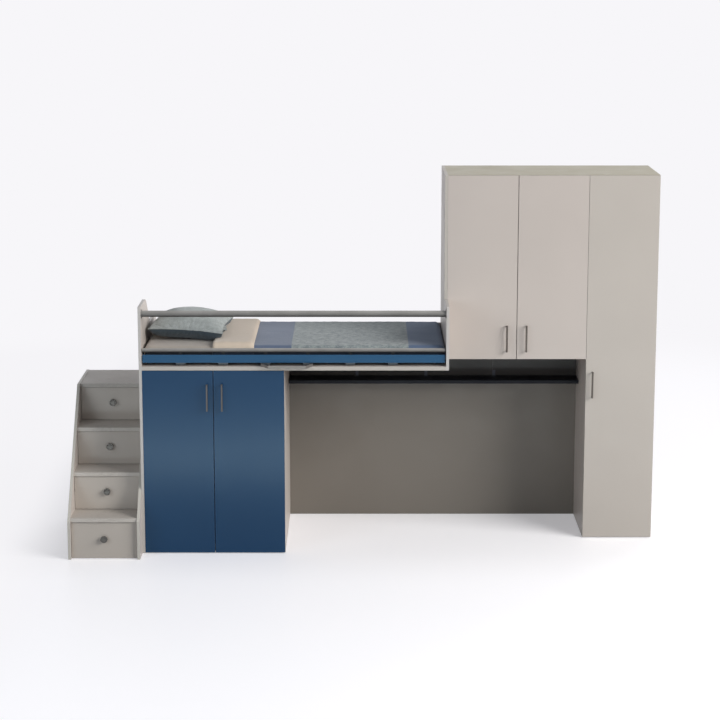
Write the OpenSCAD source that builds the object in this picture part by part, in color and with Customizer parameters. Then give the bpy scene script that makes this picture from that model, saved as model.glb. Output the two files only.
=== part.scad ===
// Loft bed in one run of furniture: a drawer stair, a two-door wardrobe under the head of the bed,
// an open niche with a shelf under its foot, a bridge cabinet and a tall column cupboard.
// X runs from the stair to the column, Y from front to back, Z up from the floor.

/* [Boards] */
// Thickness of side panels, doors and other carcass boards
board_t = 18; // [15:1:25]
// Thickness of the boards that close the cupboards at the back
back_t = 8; // [4:1:12]
// Gap round each door and drawer front
door_gap = 2; // [1:0.5:4]
// Gap between a shut door and the cupboard behind it
door_back_gap = 0.5; // [0.3:0.1:3]
// Height of the doors' lower edge above the floor
door_floor_gap = 5; // [3:1:15]

/* [Bed] */
// Length of the bed over its end panels
bed_l = 1950; // [1850:10:2150]
// Depth of the bed from its front edge to the wall
bed_d = 957; // [900:1:1150]
// Height of the underside of the deck above the floor
deck_z = 1193; // [1100:1:1500]
// Thickness of the deck board
deck_t = 25; // [18:1:30]
// Height of the end panels' front ears above the deck's underside
ear_h = 404; // [340:1:480]
// Length of the ears' level top
ear_flat = 280; // [150:5:320]
// Height of the end panels' low part above the deck's underside
end_low_h = 207; // [150:1:260]
// Radius of the curve that joins ear and low part
ear_r = 150; // [80:5:180]
// Angle of the ears' slope
ear_angle = 40; // [30:1:60]
// Radius of the ears' front corner
ear_nose_r = 12; // [5:1:30]
// Height of the board behind the mattress, above the deck
back_rail_h = 110; // [60:5:112]

/* [Guard rail] */
// Diameter of the upper guard tube
guard_d = 40; // [25:1:50]
// Height of the upper guard tube's middle above the deck's underside
guard_h = 356.5; // [300:0.5:376]
// Distance from the bed's front edge to the middle of the upper guard tube
guard_in = 30; // [29:1:60]
// Diameter of the sockets that hold tubes to the panels
socket_d = 56; // [52:1:70]
// Thickness of the sockets
socket_t = 5; // [3:1:12]

/* [Pull-out base] */
// Side clearance of the base between the end panels
base_gap = 5; // [3:1:15]
// Thickness of the strips that the slats slide on
glide_t = 8; // [5:1:12]
// Width of the strips that the slats slide on
glide_w = 40; // [25:1:60]
// Distance from the slats' front ends back to the strips
glide_in = 60; // [20:5:150]
// Thickness of the slats
slat_t = 14; // [10:1:20]
// Width of the slats
slat_w = 60; // [40:1:80]
// Number of slats whose ends show under the fascia
slat_count = 6; // [4:1:7]
// Distance from one slat to the next
slat_pitch = 267; // [220:1:280]
// Distance from the end panel's outer face to the first slat's middle
slat_first = 262; // [180:1:300]
// Distance from the base's ends to its two outermost slats
end_slat_in = 10; // [5:1:40]
// Room that the two outermost slats leave behind the fascia
end_slat_back = 60; // [20:5:120]
// Height of the fascia
fascia_h = 50; // [40:1:60]
// Distance from the bed's front edge back to the fascia
fascia_in = 12; // [6:1:20]
// Diameter of the tube that keeps the mattress in
retainer_d = 26; // [20:1:28]
// Height of the retainer's middle above the fascia's top
retainer_up = 29; // [22:1:32]
// Thickness of the lugs that carry the retainer
lug_t = 4; // [3:1:6]
// Width of the lugs that carry the retainer
lug_w = 20; // [15:1:40]
// Distance from the left end panel's outer face to the middle of the base's handle
pull_at = 932; // [600:1:1300]
// Length of the base's handle at its ends
pull_l = 326; // [250:1:400]
// Length of the handle's straight grip
pull_grip_l = 240; // [150:1:280]
// Clearance between the base's handle and the deck
pull_gap = 1; // [0.5:0.5:3]
// Thickness of the handle's flat bar
pull_t = 5; // [3:0.5:6]
// Length of the handle's feet under the fascia
pull_foot = 10; // [8:1:14]
// Distance that the handle stands out in front of the bed
pull_out = 34; // [28:1:45]
// Angle that the handle's grip drops towards the front
pull_tilt = 12; // [8:0.5:13]

/* [Bedding] */
// Gap between the mattress's ends and the end panels
mattress_end_gap = 7; // [4:1:20]
// Gap between the retainer's lugs and the bedding
mattress_front_gap = 8; // [4:1:30]
// Thickness of the mattress at its edge
mattress_t = 92; // [80:1:96]
// Rise of the mattress's crown in the middle
mattress_crown = 4; // [0:1:8]
// Radius of the mattress's edges
mattress_r = 16; // [8:1:24]
// Thickness of the sheet
sheet_t = 3; // [2:0.5:4]
// Thickness of the coverlet
coverlet_t = 3; // [2:0.5:4]
// Length of bed that the sheet shows on before the coverlet starts
sheet_l = 710; // [500:10:900]
// Height that the bedding hangs down over the mattress's sides
bedding_drop = 62; // [40:1:70]
// Length of the upper pillow along the bed
pillow_l = 475; // [400:5:600]
// Width of the upper pillow across the bed
pillow_w = 530; // [450:5:560]
// Thickness of the upper pillow
pillow_t = 100; // [60:1:120]
// Length of the lower pillow along the bed
low_pillow_l = 500; // [400:5:600]
// Width of the lower pillow across the bed
low_pillow_w = 470; // [400:5:500]
// Thickness of the lower pillow
low_pillow_t = 60; // [30:1:80]
// Distance that the upper pillow lies in front of the lower one
pillow_lead = 205; // [180:5:240]
// Distance from the end panel to the lower pillow
pillow_in = 14; // [10:1:60]

/* [Wardrobe under the bed] */
// Width of the two-door wardrobe
wardrobe_w = 896; // [700:1:1000]
// Height of the cupboards' bottom boards above the floor
bottom_z = 40; // [20:5:90]
// Height of the wardrobe's inner shelf above its bottom board
wardrobe_shelf_h = 300; // [200:10:500]
// Distance from the cupboards' front edges back to their inner shelves
shelf_in = 80; // [78:1:150]
// Diameter of the hanging rails
rail_d = 25; // [18:1:32]
// Distance from the hanging rail's middle down from the board above it
rail_down = 60; // [40:5:120]

/* [Niche] */
// Thickness of the board across the niche
shelf_t = 22; // [18:1:28]
// Depth of the board across the niche, in front of the back panels
shelf_d = 169; // [120:1:300]
// Height of the board's underside above the floor
shelf_z = 946; // [800:1:1000]
// Width of the shelf brackets
bracket_w = 20; // [15:1:40]
// Length of each leg of the shelf brackets
bracket_l = 36; // [25:1:60]
// Thickness of the shelf brackets
bracket_t = 3; // [2:0.5:5]
// Distances of the brackets from the wardrobe
bracket_at = [457, 922, 1380]; // [100:1:1800]
// Distance from the wardrobe to the joint of the upper back panels
panel_joint = 1372; // [1000:1:1700]

/* [Cabinet and column] */
// Width of one cabinet door with its gap
cab_door_w = 450; // [350:1:600]
// Width of the column cupboard
column_w = 450; // [350:1:600]
// Depth of cabinet and column, doors included
cab_d = 599; // [500:1:650]
// Overall height
total_h = 2384; // [2100:1:2600]
// Height of the cabinet's inner shelf above its bottom board
cabinet_shelf_h = 560; // [300:10:800]
// Number of inner shelves in the column
column_shelves = 4; // [2:1:6]

/* [Stair] */
// Width of the stair over its sides
stair_w = 456; // [400:1:600]
// Distance that the stair stands out in front of the bed
stair_reach = 144; // [60:1:300]
// Height of the first step
first_rise = 265; // [220:1:300]
// Height from one step to the next
rise = 245.5; // [200:0.5:248]
// Depth of each step from nosing to nosing
going = 210; // [180:1:250]
// Thickness of the step boards
tread_t = 25; // [18:1:30]
// Distance from the sides' front edge back to the first nosing
nosing_in = 17; // [8:1:30]
// Distance from a nosing back to the drawer front under it
nosing_over = 10; // [4:1:25]
// Length that a step runs on under the next drawer front
tread_back = 60; // [40:1:90]
// Height of the upright front edge of the stair's sides
side_nose_h = 245; // [180:1:260]
// Distance from the end of the sides' slope to the top nosing behind it
slope_lead = 23; // [0:1:100]
// Height of the stair's sides above the top step
side_over = 2.5; // [0:0.5:20]

/* [Drawers] */
// Space behind the top drawer's box
drawer_back_gap = 18; // [10:1:100]
// Thickness of the drawer boxes' sides
drawer_t = 12; // [10:1:16]
// Thickness of the drawer boxes' bottoms
drawer_bottom_t = 6; // [4:1:10]
// Width of each runner between box and stair side
runner_t = 12.5; // [10:0.5:16]
// Height of the runners
runner_h = 34; // [20:1:40]
// Height of the runners above the drawer boxes' undersides
runner_up = 20; // [10:1:60]
// Space above and below a drawer box
drawer_play = 18; // [12:1:30]
// Gap above and below each drawer front
front_gap = 3; // [2:0.5:6]
// Diameter of the drawer knobs
knob_d = 44; // [25:1:60]
// Length that the knobs stand out
knob_l = 25; // [18:1:40]
// Height of the knobs above the drawer fronts' middle
knob_up = 10; // [0:1:30]

/* [Handles and hinges] */
// Distance between a door handle's posts
handle_c = 160; // [96:1:256]
// Diameter of the handle's bar
handle_d = 12; // [8:1:16]
// Diameter of the handle's posts
handle_post_d = 9; // [6:1:12]
// Distance from the door's face to the handle's outer side
handle_out = 34; // [26:1:45]
// Height of the wardrobe handles' lower posts above the floor
wardrobe_handle_z = 941; // [700:1:980]
// Height of the cabinet handles' lower posts above the cabinet's underside
cabinet_handle_up = 58; // [40:1:300]
// Height of the column handle's lower post above the floor
column_handle_z = 948; // [700:1:1300]
// Distances of the wardrobe's left and right handle from the doors' meeting edges
wardrobe_handle_in = [37, 53]; // [30:1:80]
// Distances of the cabinet's left and right handle from the doors' meeting edges
cabinet_handle_in = [62, 59]; // [30:1:80]
// Distance of the column's handle from the door's opening edge
column_handle_in = 41; // [30:1:80]
// Diameter of the hinge cups bored into the doors
cup_d = 35; // [26:1:35]
// Depth of the hinge cups
cup_depth = 12; // [10:0.5:13]
// Distance from a door's hinged edge to the middle of its cups
cup_in = 22; // [21:0.5:24]
// Distance from a door's end to its outer hinge
hinge_in = 100; // [80:5:150]
// Number of hinges on each wardrobe and cabinet door
door_hinges = 3; // [2:1:4]
// Number of hinges on the column's door
column_hinges = 5; // [3:1:6]

/* [Hidden] */
$fn = 48;
steps = 4;

// The origin is on the floor, in the middle of the plan.
cabinet_w = 2 * cab_door_w;
total_w = stair_w + bed_l + cabinet_w + column_w;
total_d = stair_reach + bed_d;
bed_x = stair_w - total_w / 2;
front_y = stair_reach - total_d / 2;
back_y = total_d / 2;
stair_x = -total_w / 2;
stair_y = -total_d / 2;

// Bed
inner_x = bed_x + board_t;
inner_l = bed_l - 2 * board_t;
deck_top = deck_z + deck_t;
ear_z = deck_z + ear_h;
guard_y = front_y + guard_in;
guard_z = deck_z + guard_h;

// Pull-out base, from the deck upwards
slat_z = deck_top + glide_t;
fascia_z = slat_z + slat_t;
fascia_y = front_y + fascia_in;
fascia_back = fascia_y + board_t;
retainer_z = fascia_z + fascia_h + retainer_up;
base_l = inner_l - 2 * base_gap;
base_x = inner_x + base_gap;
rail_y = back_y - board_t;
soft_gap = 0.3;
wrap = soft_gap + max(sheet_t, coverlet_t);
mattress_l = inner_l - 2 * mattress_end_gap;
mattress_x = inner_x + mattress_end_gap;
mattress_y = fascia_back + lug_t + mattress_front_gap + wrap;
mattress_w = rail_y - wrap - 2 * soft_gap - mattress_y;
mattress_z = fascia_z + soft_gap;
mattress_top = mattress_z + mattress_t;
bed_top = mattress_top + mattress_crown + wrap + soft_gap;
slat_y = fascia_y + pull_foot + soft_gap;
slat_end = mattress_y + mattress_w - board_t;
slat_x = [for (i = [0 : slat_count - 1]) bed_x + slat_first + i * slat_pitch];
end_slat_x = [base_x + end_slat_in + slat_w / 2, base_x + base_l - end_slat_in - slat_w / 2];
pull_slab_h = (fascia_z - deck_top - pull_gap - fascia_in * tan(pull_tilt)) / cos(pull_tilt);

// Wardrobe and niche
wardrobe_x = inner_x;
wardrobe_end = wardrobe_x + wardrobe_w;
carcass_y = front_y + board_t + door_back_gap;
cabinet_x = bed_x + bed_l;
column_x = cabinet_x + cabinet_w;
panel_y = back_y - board_t;
cab_y = back_y - cab_d;
cab_carcass_y = cab_y + board_t + door_back_gap;

// Stair
well_x = stair_x + board_t;
well_w = stair_w - 2 * board_t;
stair_top = first_rise + (steps - 1) * rise;
side_top = stair_top + side_over;
side_run = nosing_in + (steps - 1) * going - slope_lead;
box_w = well_w - 2 * runner_t;
drawer_l = back_y - back_t - drawer_back_gap - drawer_y(steps) - board_t;

function tread_z(n) = first_rise + (n - 1) * rise;
function nosing_y(n) = stair_y + nosing_in + (n - 1) * going;
function front_bottom(n) = (n == 1 ? 0 : tread_z(n - 1)) + front_gap;
function front_top(n) = tread_z(n) - tread_t - front_gap;
function drawer_y(n) = nosing_y(n) + nosing_over;
function box_z(n) = (n == 1 ? 0 : tread_z(n - 1)) + drawer_play;
function box_h(n) = tread_z(n) - tread_t - drawer_play - box_z(n);

// Doors: left edge, front plane, lower edge, width, height, and the side that the hinges are on
wardrobe_door_h = deck_z - door_gap - door_floor_gap;
wardrobe_door_w = (wardrobe_w - 3 * door_gap) / 2;
cabinet_door_z = deck_z + door_gap;
cabinet_door_h = total_h - deck_z - 2 * door_gap;
panel_door_w = cab_door_w - 1.5 * door_gap;
column_door_h = total_h - door_gap - door_floor_gap;

wardrobe_left_door_x = wardrobe_x + door_gap / 2;
wardrobe_right_door_x = wardrobe_end - door_gap / 2 - wardrobe_door_w;
cabinet_left_door_x = cabinet_x + door_gap / 2;
cabinet_right_door_x = column_x - door_gap / 2 - panel_door_w;
column_door_x = column_x + door_gap / 2;
column_door_w = column_w - door_gap;

// Points on a round stretch, from one angle to another
function arc(centre, r, from, to, n) =
  [for (i = [0 : n]) centre + r * [cos(from + (to - from) * i / n), sin(from + (to - from) * i / n)]];

module board(at, size) {
  translate(at)
    cube(size);
}

// Draws a flat outline given as (y, z) and gives it a thickness along X.
module upright(x, t) {
  translate([x, 0, 0])
    rotate([90, 0, 90])
      linear_extrude(t)
        children();
}

// Stair
module stair_side_outline() {
  polygon([
    [stair_y, 0], [stair_y, side_nose_h], [stair_y + side_run, side_top],
    [back_y, side_top], [back_y, 0]
  ]);
}

module stair_left_side() {
  color("#b9b3ad")
    upright(stair_x, board_t)
      stair_side_outline();
}

module stair_right_side() {
  color("#b9b3ad")
    upright(bed_x - board_t, board_t)
      stair_side_outline();
}

module stair_treads() {
  color("#aaa59f")
    for (n = [1 : steps]) {
      depth = n == steps ? back_y - nosing_y(n) : going + tread_back;
      board([well_x, nosing_y(n), tread_z(n) - tread_t], [well_w, depth, tread_t]);
    }
}

// A runner is a folded steel channel, open towards the drawer.
module runner_outline() {
  lip = 1.5;
  depth = runner_t - soft_gap;
  difference() {
    square([depth, runner_h]);
    translate([lip, lip])
      square([depth, runner_h - 2 * lip]);
  }
}

module drawer_runners() {
  color("#c9c9c6")
    for (n = [1 : steps], side = [0, 1])
      translate([side == 0 ? well_x : well_x + well_w, drawer_y(n) + board_t, box_z(n) + runner_up])
        mirror([side, 0, 0])
          translate([0, drawer_l, 0])
            rotate([90, 0, 0])
              linear_extrude(drawer_l)
                runner_outline();
}

module drawer_front(n) {
  color("#9e9993")
    board(
      [well_x + door_gap, drawer_y(n), front_bottom(n)],
      [well_w - 2 * door_gap, board_t, front_top(n) - front_bottom(n)]
    );
}

module drawer_box(n) {
  color("#d8d2c6")
    translate([well_x + runner_t, drawer_y(n) + board_t, box_z(n)])
      difference() {
        cube([box_w, drawer_l, box_h(n)]);
        translate([drawer_t, drawer_t, drawer_bottom_t])
          cube([box_w - 2 * drawer_t, drawer_l - 2 * drawer_t, box_h(n)]);
      }
}

// A turned knob: slim neck, flared rim and a dished face.
module drawer_knob(n) {
  neck_r = knob_d * 0.2;
  rim_r = knob_d / 2;
  dish = 2.5;
  color("#55585a")
    translate([well_x + well_w / 2, drawer_y(n), (front_bottom(n) + front_top(n)) / 2 + knob_up])
      rotate([90, 0, 0])
        rotate_extrude()
          polygon(concat(
            [[0, 0], [neck_r + 3, 0], [neck_r, 4], [neck_r, knob_l * 0.4]],
            [[rim_r, knob_l * 0.62], [rim_r, knob_l - 1.5]],
            [[rim_r - 1.5, knob_l], [rim_r - 5, knob_l]],
            [[rim_r - 9, knob_l - dish], [0, knob_l - dish - 1]]
          ));
}

// Bed
module end_panel_outline() {
  low_z = deck_z + end_low_h;
  slope_drop = ear_h - end_low_h - 2 * ear_r * (1 - cos(ear_angle));
  slope_run = slope_drop / tan(ear_angle);
  foot_y = front_y + ear_flat + 2 * ear_r * sin(ear_angle) + slope_run;
  polygon(concat(
    [[front_y, 0]],
    arc([front_y + ear_nose_r, ear_z - ear_nose_r], ear_nose_r, 180, 90, 6),
    arc([front_y + ear_flat, ear_z - ear_r], ear_r, 90, 90 - ear_angle, 8),
    arc([foot_y, low_z + ear_r], ear_r, 270 - ear_angle, 270, 8),
    [[back_y, low_z], [back_y, 0]]
  ));
}

module bed_left_end() {
  color("#bab4ae")
    upright(bed_x, board_t)
      end_panel_outline();
}

// The right end stops at the cabinet's side and hangs on the deck's end.
module bed_right_end() {
  color("#bab4ae")
    upright(cabinet_x - board_t, board_t)
      intersection() {
        end_panel_outline();
        translate([front_y, deck_z])
          square([cab_y - front_y, ear_h]);
      }
}

module bed_deck() {
  color("#b4aea8")
    board([inner_x, front_y, deck_z], [inner_l, bed_d, deck_t]);
}

module bed_back_rail() {
  color("#9c9791")
    board([inner_x, rail_y, deck_top], [inner_l, board_t, back_rail_h]);
}

module guard_tube() {
  color("#8e8d8b")
    translate([inner_x + socket_t, guard_y, guard_z])
      rotate([0, 90, 0])
        cylinder(d = guard_d, h = inner_l - 2 * socket_t);
}

module tube_sockets() {
  color("#6d6e6e")
    for (x = [inner_x, inner_x + inner_l - socket_t])
      translate([x, guard_y, guard_z])
        rotate([0, 90, 0])
          cylinder(d = socket_d, h = socket_t);
}

// Pull-out base
module base_fascia() {
  color("#37587a")
    board([base_x, fascia_y, fascia_z], [base_l, board_t, fascia_h]);
}

module base_slats() {
  end_y = slat_y + end_slat_back;
  color("#c7c8c4") {
    for (x = slat_x)
      board([x - slat_w / 2, slat_y, slat_z], [slat_w, slat_end - slat_y, slat_t]);
    for (x = end_slat_x)
      board([x - slat_w / 2, end_y, slat_z], [slat_w, slat_end - end_y, slat_t]);
  }
}

module base_rear_rail() {
  color("#c7c8c4")
    board([base_x, slat_end, slat_z + slat_t - board_t], [base_l, board_t, board_t]);
}

// A plastic strip under each slat, which slides on the deck
module base_glides() {
  color("#3a3b3c")
    for (x = concat(slat_x, end_slat_x))
      board(
        [x - glide_w / 2, slat_y + glide_in, deck_top],
        [glide_w, slat_end - slat_y - glide_in - soft_gap, glide_t]
      );
}

// The base's handle is one flat bar, bent into a shallow bow and screwed up under the fascia.
module pull_outline() {
  outer = pull_l / 2;
  grip = pull_grip_l / 2;
  foot = fascia_in + pull_foot;
  polygon([
    [-outer, foot], [-outer, 0], [-grip, -pull_out], [grip, -pull_out], [outer, 0], [outer, foot],
    [outer - pull_t, foot], [outer - pull_t, pull_t / 2], [grip - pull_t / 2, pull_t - pull_out],
    [pull_t / 2 - grip, pull_t - pull_out], [pull_t - outer, pull_t / 2], [pull_t - outer, foot]
  ]);
}

module base_handle() {
  color("#7b7873")
    intersection() {
      translate([bed_x + pull_at, front_y, deck_top + pull_gap])
        rotate([pull_tilt, 0, 0])
          linear_extrude(pull_slab_h)
            pull_outline();
      board([bed_x, front_y - 2 * pull_out, 0], [bed_l, bed_d, fascia_z]);
    }
}

// A tube along the mattress's front edge, welded to upright lugs on the slats' front ends.
module mattress_retainer() {
  color("#8b8a88") {
    translate([base_x, fascia_back + lug_t - retainer_d / 2, retainer_z])
      rotate([0, 90, 0])
        cylinder(d = retainer_d, h = base_l);
    for (x = slat_x)
      board([x - lug_w / 2, fascia_back, fascia_z], [lug_w, lug_t, retainer_z - fascia_z]);
  }
}

// Soft pieces

// Cross-section of the mattress, or of cloth at a distance outside it: crowned top, drawn-in sides.
function mattress_section(grow) =
  let (half = mattress_w / 2, r = mattress_r + grow, sag = mattress_crown)
  concat(
    [[-half + mattress_r, -grow], [half - mattress_r, -grow]],
    arc([half - mattress_r, mattress_r], r, -80, 0, 4),
    arc([half - mattress_r, mattress_t - mattress_r], r, 0, 82, 5),
    [for (i = [-1 : 0.125 : 1]) [-i * (half - mattress_r), mattress_t + grow + sag * (1 - i * i)]],
    arc([-half + mattress_r, mattress_t - mattress_r], r, 98, 180, 5),
    arc([-half + mattress_r, mattress_r], r, 180, 260, 4)
  );

module mattress_block(grow, x, l) {
  translate([x, mattress_y + mattress_w / 2, mattress_z])
    rotate([90, 0, 90])
      linear_extrude(l)
        polygon(mattress_section(grow));
}

module mattress() {
  half = mattress_w / 2;
  color("#d6d0c4")
    intersection() {
      mattress_block(0, mattress_x, mattress_l);
      translate([mattress_x, mattress_y, mattress_z])
        linear_extrude(mattress_t + mattress_crown)
          polygon(concat(
            arc([mattress_r, mattress_r], mattress_r, 180, 270, 4),
            arc([mattress_l - mattress_r, mattress_r], mattress_r, 270, 360, 4),
            arc([mattress_l - mattress_r, 2 * half - mattress_r], mattress_r, 0, 90, 4),
            arc([mattress_r, 2 * half - mattress_r], mattress_r, 90, 180, 4)
          ));
    }
}

// Cloth laid over the mattress, hanging down over both of its sides.
module laid_cloth(x, l, t) {
  past = 1 + wrap;
  difference() {
    mattress_block(soft_gap + t, x, l);
    mattress_block(soft_gap, x - past, l + 2 * past);
    board(
      [x - past, mattress_y - past, 0],
      [l + 2 * past, mattress_w + 2 * past, mattress_top - bedding_drop]
    );
  }
}

module sheet() {
  color("#b0a79e")
    laid_cloth(mattress_x + mattress_r, sheet_l - mattress_r, sheet_t);
}

module coverlet() {
  color("#5c6b80")
    laid_cloth(mattress_x + sheet_l + soft_gap, mattress_l - sheet_l - mattress_r, coverlet_t);
}

// A stuffed pillow on a grid: full in the middle, thin at the seam, its sides drawn in between corners.
// Its front lies lower than the rest by the height of what it leans on.
module pillow(l, w, t, seam, leans_on) {
  n = 16;
  draw_in = 0.06;
  function side(i) = 2 * i / n - 1;
  function across(a, b) = a * (1 - draw_in * (1 - b * b) * a * a);
  function puff(a, b) = pow(max(0, (1 - pow(a, 4)) * (1 - pow(b, 4))), 0.55);
  function lean(b) = leans_on * min(1, max(0, (b + 0.9) / 0.55));
  function swell(a, b, up) = up > 0 ? seam + (1 - seam) * puff(a, b) : seam * (1 - puff(a, b));
  function at(i, j, up) =
    let (a = side(i), b = side(j))
    [across(a, b) * l / 2, across(b, a) * w / 2, t * swell(a, b, up) + lean(b)];
  m = n + 1;
  top = [for (i = [0 : n], j = [0 : n]) at(i, j, 1)];
  under = [for (i = [0 : n], j = [0 : n]) at(i, j, -1)];
  function rim(i, j) = i == 0 || j == 0 || i == n || j == n;
  function id(i, j, up) = (up > 0 || rim(i, j)) ? i * m + j : m * m + i * m + j;
  faces = [for (i = [0 : n - 1], j = [0 : n - 1], up = [1, -1], half = [0, 1])
    let (p = id(i, j, up), q = id(i + 1, j, up), r = id(i + 1, j + 1, up), s = id(i, j + 1, up))
    let (turned = (i < n / 2) != (j < n / 2))
    let (tri = turned ? (half == 0 ? [p, q, s] : [q, r, s]) : (half == 0 ? [p, q, r] : [p, r, s]))
    up > 0 ? [tri[0], tri[2], tri[1]] : tri
  ];
  polyhedron(concat(top, under), faces);
}

module pillows() {
  x = inner_x + pillow_in + low_pillow_l / 2;
  low_y = rail_y - pillow_in - low_pillow_w;
  color("#8e9a9f") {
    translate([x, low_y + low_pillow_w / 2, bed_top])
      pillow(low_pillow_l, low_pillow_w, low_pillow_t, 0.4, 0);
    translate([x, low_y - pillow_lead + pillow_w / 2, bed_top])
      pillow(pillow_l, pillow_w, pillow_t, 0.65, low_pillow_t - 2 * soft_gap);
  }
}

// Cupboards
module cupboard_side(x, y, h) {
  color("#b9b3ad")
    board([x, y, 0], [board_t, back_y - y, h]);
}

module wardrobe_left_side() {
  cupboard_side(wardrobe_x, carcass_y, deck_z - board_t);
}

module wardrobe_right_side() {
  cupboard_side(wardrobe_end - board_t, carcass_y, deck_z - board_t);
}

module wardrobe_top() {
  color("#b4aea8")
    board([wardrobe_x, carcass_y, deck_z - board_t], [wardrobe_w, back_y - carcass_y, board_t]);
}

// Bottom boards of wardrobe and column, each on a plinth that stands on the floor
module cupboard_bottoms() {
  plinth_in = 40;
  color("#aaa59f") {
    for (c = [[wardrobe_x, carcass_y, wardrobe_w], [column_x, cab_carcass_y, column_w]]) {
      board([c[0] + board_t, c[1], bottom_z], [c[2] - 2 * board_t, back_y - back_t - c[1], board_t]);
      board([c[0] + board_t, c[1] + plinth_in, 0], [c[2] - 2 * board_t, board_t, bottom_z]);
    }
  }
}

module niche_back_panel() {
  color("#7b766f")
    board([wardrobe_end, panel_y, 0], [column_x - wardrobe_end, board_t, shelf_z]);
}

module niche_shelf() {
  color("#1f2429")
    board([wardrobe_end, panel_y - shelf_d, shelf_z], [column_x - wardrobe_end, shelf_d + board_t, shelf_t]);
}

module niche_upper_panels() {
  z = shelf_z + shelf_t;
  joint_x = wardrobe_end + panel_joint;
  color("#6f6a64") {
    board([wardrobe_end, panel_y, z], [panel_joint - 0.5, board_t, deck_z - z]);
    board([joint_x + 0.5, panel_y, z], [column_x - joint_x - 0.5, board_t, deck_z - z]);
  }
}

module shelf_brackets() {
  color("#b8bbbd")
    for (x = bracket_at)
      translate([wardrobe_end + x - bracket_w / 2, panel_y, shelf_z + shelf_t]) {
        translate([0, -bracket_t, 0])
          cube([bracket_w, bracket_t, bracket_l]);
        translate([0, -bracket_l, 0])
          cube([bracket_w, bracket_l, bracket_t]);
      }
}

module cabinet_left_side() {
  color("#b4aca2")
    board([cabinet_x - board_t, cab_y, deck_z], [board_t, cab_d, total_h - deck_z]);
}

module cabinet_right_side() {
  color("#b4aca2")
    board(
      [column_x - board_t, cab_carcass_y, deck_z],
      [board_t, back_y - cab_carcass_y, total_h - board_t - deck_z]
    );
}

module cabinet_bottom() {
  color("#b4aca2")
    board([cabinet_x, cab_carcass_y, deck_z], [cabinet_w - board_t, back_y - cab_carcass_y, board_t]);
}

module top_board() {
  color("#b0aa9c")
    board(
      [cabinet_x, cab_carcass_y, total_h - board_t],
      [cabinet_w + column_w, back_y - cab_carcass_y, board_t]
    );
}

module column_left_side() {
  cupboard_side(column_x, cab_carcass_y, total_h - board_t);
}

module column_right_side() {
  cupboard_side(column_x + column_w - board_t, cab_carcass_y, total_h - board_t);
}

// Thin boards behind the stair, the wardrobe, the cabinet and the column
module back_boards() {
  y = back_y - back_t;
  color("#cfc9bd") {
    board([well_x, y, 0], [well_w, back_t, stair_top - tread_t]);
    board(
      [wardrobe_x + board_t, y, bottom_z],
      [wardrobe_w - 2 * board_t, back_t, deck_z - board_t - bottom_z]
    );
    board(
      [cabinet_x, y, deck_z + board_t],
      [cabinet_w - board_t, back_t, total_h - deck_z - 2 * board_t]
    );
    board([column_x + board_t, y, bottom_z], [column_w - 2 * board_t, back_t, total_h - board_t - bottom_z]);
  }
}

function column_shelf_z(i) =
  bottom_z + board_t + (total_h - bottom_z - 2 * board_t) * i / (column_shelves + 1);

module inner_shelves() {
  color("#cfc9bd") {
    board(
      [wardrobe_x + board_t, carcass_y + shelf_in, bottom_z + board_t + wardrobe_shelf_h],
      [wardrobe_w - 2 * board_t, back_y - back_t - carcass_y - shelf_in, board_t]
    );
    board(
      [cabinet_x, cab_carcass_y + shelf_in, deck_z + board_t + cabinet_shelf_h],
      [cabinet_w - board_t, back_y - back_t - cab_carcass_y - shelf_in, board_t]
    );
    for (i = [1 : column_shelves])
      board(
        [column_x + board_t, cab_carcass_y + shelf_in, column_shelf_z(i) - board_t / 2],
        [column_w - 2 * board_t, back_y - back_t - cab_carcass_y - shelf_in, board_t]
      );
  }
}

// A tube across the wardrobe, in two round end sockets
module hanging_rails() {
  l = wardrobe_w - 2 * board_t;
  rail_socket_d = rail_d + 16;
  color("#b7b9ba")
    translate([wardrobe_x + board_t, (carcass_y + back_y) / 2, deck_z - board_t - rail_down])
      rotate([0, 90, 0]) {
        cylinder(d = rail_d, h = l);
        cylinder(d = rail_socket_d, h = socket_t);
        translate([0, 0, l - socket_t])
          cylinder(d = rail_socket_d, h = socket_t);
      }
}

// Doors

// A door with blind bores for its hinge cups in the inner face
module door(x, y, z, w, h, hinge_right, hinges) {
  cup_x = hinge_right ? w - cup_in : cup_in;
  translate([x, y, z])
    difference() {
      cube([w, board_t, h]);
      for (i = [0 : hinges - 1])
        translate([cup_x, board_t + 1, hinge_at(h, i, hinges)])
          rotate([90, 0, 0])
            cylinder(d = cup_d, h = cup_depth + 1);
    }
}

function hinge_at(h, i, hinges) = hinge_in + (h - 2 * hinge_in) * i / (hinges - 1);

module wardrobe_door(x, hinge_right) {
  color("#2f4f70")
    door(x, front_y, door_floor_gap, wardrobe_door_w, wardrobe_door_h, hinge_right, door_hinges);
}

module cabinet_door(x, hinge_right) {
  color("#b8b1a9")
    door(x, cab_y, cabinet_door_z, panel_door_w, cabinet_door_h, hinge_right, door_hinges);
}

module wardrobe_door_left() {
  wardrobe_door(wardrobe_left_door_x, false);
}

module wardrobe_door_right() {
  wardrobe_door(wardrobe_right_door_x, true);
}

module cabinet_door_left() {
  cabinet_door(cabinet_left_door_x, false);
}

module cabinet_door_right() {
  cabinet_door(cabinet_right_door_x, true);
}

module column_door() {
  color("#b8b1a9")
    door(column_door_x, cab_y, door_floor_gap, column_door_w, column_door_h, true, column_hinges);
}

// A bar handle on two posts, upright on a door's face
module handle(x, y, z) {
  color("#6a6a68")
    translate([x, y, z]) {
      translate([0, handle_d / 2 - handle_out, -handle_d / 2])
        cylinder(d = handle_d, h = handle_c + handle_d);
      for (up = [0, handle_c])
        translate([0, 0, up])
          rotate([90, 0, 0])
            cylinder(d = handle_post_d, h = handle_out - handle_d / 2);
    }
}

module wardrobe_handle_left() {
  handle(wardrobe_left_door_x + wardrobe_door_w - wardrobe_handle_in[0], front_y, wardrobe_handle_z);
}

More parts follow.
